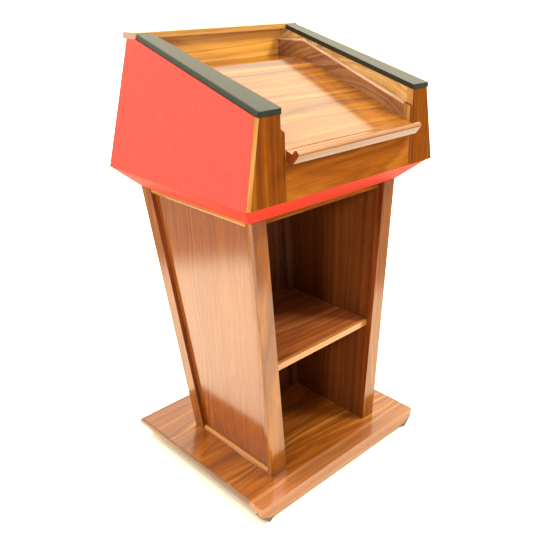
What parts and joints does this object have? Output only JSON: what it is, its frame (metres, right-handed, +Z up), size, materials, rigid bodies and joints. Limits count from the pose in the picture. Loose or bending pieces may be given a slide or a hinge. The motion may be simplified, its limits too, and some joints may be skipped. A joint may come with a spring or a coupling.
{
  "type": "armoured lectern",
  "caption": "Free-standing armoured lectern: flared walnut column with an open back and shelf, sloped red skirt, wedge head with a sloping reading desk, book stop and black cap rails.",
  "frame": {"origin": "centre of the bounding box's footprint on the floor", "axes": "+Z up, -Y towards the speaker's open side, +Y towards the audience, +X to the speaker's right hand as they face the desk"},
  "size_m": [0.692, 0.5898, 1.2192],
  "materials": {
    "walnut_veneer": "walnut veneer under gloss lacquer",
    "walnut_solid": "solid walnut under gloss lacquer",
    "inner_ply": "dark stained board",
    "red_laminate": "red high-pressure laminate, satin",
    "skirt_board": "board faced with the red laminate",
    "black_cap": "black lacquered rail, satin",
    "armour": "woven glass-fibre ballistic panel",
    "rubber": "grey-brown rubber",
    "steel": "zinc plated"
  },
  "bodies": {
    "root": {"base_board": "walnut_veneer", "base_lipping_front": "walnut_solid", "base_lipping_rear": "walnut_solid", "base_lipping_sides": "walnut_solid", "base_rail": "walnut_solid", "sub_base": "inner_ply", "feet_front": "rubber", "feet_rear": "rubber", "foot_screws": "steel", "column_screws": "steel", "post_front_left": "walnut_solid", "post_front_right": "walnut_solid", "post_rear_left": "walnut_solid", "post_rear_right": "walnut_solid", "column_panel_left": "walnut_veneer", "column_panel_right": "walnut_veneer", "column_panel_rear": "walnut_veneer", "bead_bottom": "walnut_solid", "bead_top": "walnut_solid", "column_armour": "armour", "column_lining_left": "walnut_veneer", "column_lining_right": "walnut_veneer", "column_lining_rear": "walnut_veneer", "column_top_rail": "walnut_solid", "corner_posts": "walnut_solid", "shelf": "walnut_veneer", "shelf_lip": "walnut_solid", "shelf_cleats": "inner_ply", "skirt_left": "skirt_board", "skirt_right": "skirt_board", "skirt_front": "skirt_board", "skirt_rear": "skirt_board", "head_floor": "inner_ply", "head_deck": "inner_ply", "deck_bearers": "inner_ply", "head_core_left": "inner_ply", "head_core_right": "inner_ply", "head_core_rear": "inner_ply", "laminate_left": "red_laminate", "laminate_right": "red_laminate", "laminate_rear": "red_laminate", "head_armour": "armour", "head_inner_left": "walnut_veneer", "head_inner_right": "walnut_veneer", "front_stile_left": "walnut_veneer", "front_stile_right": "walnut_veneer", "front_panel": "walnut_veneer", "head_lining_left": "walnut_veneer", "head_lining_right": "walnut_veneer", "lining_lippings": "walnut_solid", "front_lippings": "walnut_solid", "desk_board": "walnut_veneer", "desk_ledge": "walnut_veneer", "desk_cleats": "inner_ply", "book_stop": "walnut_solid", "inner_rear_panel": "walnut_veneer", "cap_left": "black_cap", "cap_right": "black_cap", "cap_rear": "walnut_solid"}
  },
  "joints": []
}
